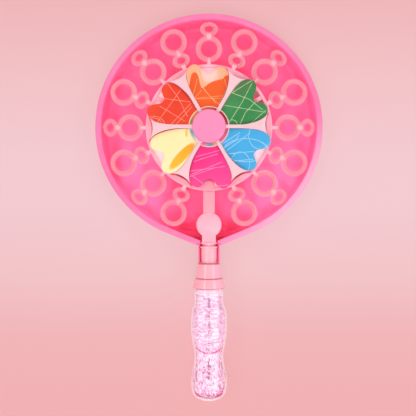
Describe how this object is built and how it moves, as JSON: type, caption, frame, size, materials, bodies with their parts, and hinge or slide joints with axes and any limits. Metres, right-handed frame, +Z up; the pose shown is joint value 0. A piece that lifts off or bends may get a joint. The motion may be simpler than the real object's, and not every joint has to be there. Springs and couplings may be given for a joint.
{
  "type": "bubble wand",
  "caption": "Hand-held windmill bubble wand with a ring of ribbed bubble loops, a screw-on bottle handle and a round dipping tray.",
  "frame": {"origin": "on the windmill's spin axis, in the plane of the tray's flat underside", "axes": "+Z up out of the tray along the windmill's axis, +Y along the wand from the bottle towards the head"},
  "size_m": [0.24, 0.4074, 0.0388],
  "materials": {
    "tray_plastic": "glossy moulded hot-pink plastic",
    "wand_plastic": "satin light-pink moulded plastic",
    "back_plate_plastic": "matt pale plastic sheet",
    "steel": "plain zinc-bright steel",
    "spring_steel": "stamped spring steel",
    "socket_plastic": "satin pale-pink moulded plastic",
    "cap_plastic": "satin light-pink moulded plastic",
    "liner_foam": "soft white sealing disc",
    "bottle_clear": "clear blow-moulded plastic",
    "solution": "clear pink-tinted liquid",
    "white_plastic": "natural low-friction plastic",
    "carrier_plastic": "satin pink moulded plastic",
    "clamp_plastic": "satin cream-pink moulded plastic",
    "iridescent_foil": "iridescent many-coloured foil on plastic sheet",
    "star_plastic": "matt pale-pink moulded plastic",
    "hub_plastic": "satin mid-pink moulded plastic",
    "petal_green_sheet": "glossy printed green sheet with fine pale crossing lines",
    "petal_orange_sheet": "glossy printed orange sheet with fine pale crossing lines",
    "petal_red_sheet": "glossy printed red sheet with fine pale crossing lines",
    "petal_yellow_sheet": "glossy printed yellow sheet with fine pale crossing lines",
    "petal_magenta_sheet": "glossy printed magenta sheet with fine pale crossing lines",
    "petal_blue_sheet": "glossy printed sky-blue sheet with fine pale crossing lines"
  },
  "bodies": {
    "tray": {"tray": "tray_plastic"},
    "wand": {"loop_frame": "wand_plastic", "back_plate": "back_plate_plastic", "stem": "wand_plastic", "frame_screws": "steel", "neck_socket": "socket_plastic", "socket_screw": "steel", "bottle_cap": "cap_plastic", "cap_liner": "liner_foam", "axle_pin": "steel", "push_nut": "spring_steel", "thrust_washer": "white_plastic"},
    "windmill": {"windmill_bush": "white_plastic", "windmill_carrier": "carrier_plastic", "petal_green": "petal_green_sheet", "petal_orange": "petal_orange_sheet", "petal_red": "petal_red_sheet", "petal_yellow": "petal_yellow_sheet", "petal_magenta": "petal_magenta_sheet", "petal_blue": "petal_blue_sheet", "clamp_ring": "clamp_plastic", "foil_disc": "iridescent_foil", "windmill_star": "star_plastic", "hub_cap": "hub_plastic"},
    "solution": {"bubble_solution": "solution"},
    "bottle": {"bottle": "bottle_clear"}
  },
  "joints": [
    {"name": "wand_lift", "type": "slide", "parent": "tray", "child": "wand", "axis": [0, 0, 1], "range_m": [0, 0.08]},
    {"name": "windmill_spin", "type": "hinge", "parent": "wand", "child": "windmill", "pos_m": [0, 0, 0.028], "axis": [0, 0, 1], "continuous": true},
    {"name": "bottle_draw", "type": "slide", "parent": "wand", "child": "solution", "axis": [0, -1, 0], "range_m": [0, 0.00525]},
    {"name": "bottle_unscrew", "type": "hinge", "parent": "solution", "child": "bottle", "pos_m": [0, -0.2, 0.0194], "axis": [0, -1, 0], "range_deg": [0, 630]}
  ],
  "couplings": [
    {"joint": "bottle_unscrew", "follows": "bottle_draw", "rad_per_m": 2094.4}
  ]
}
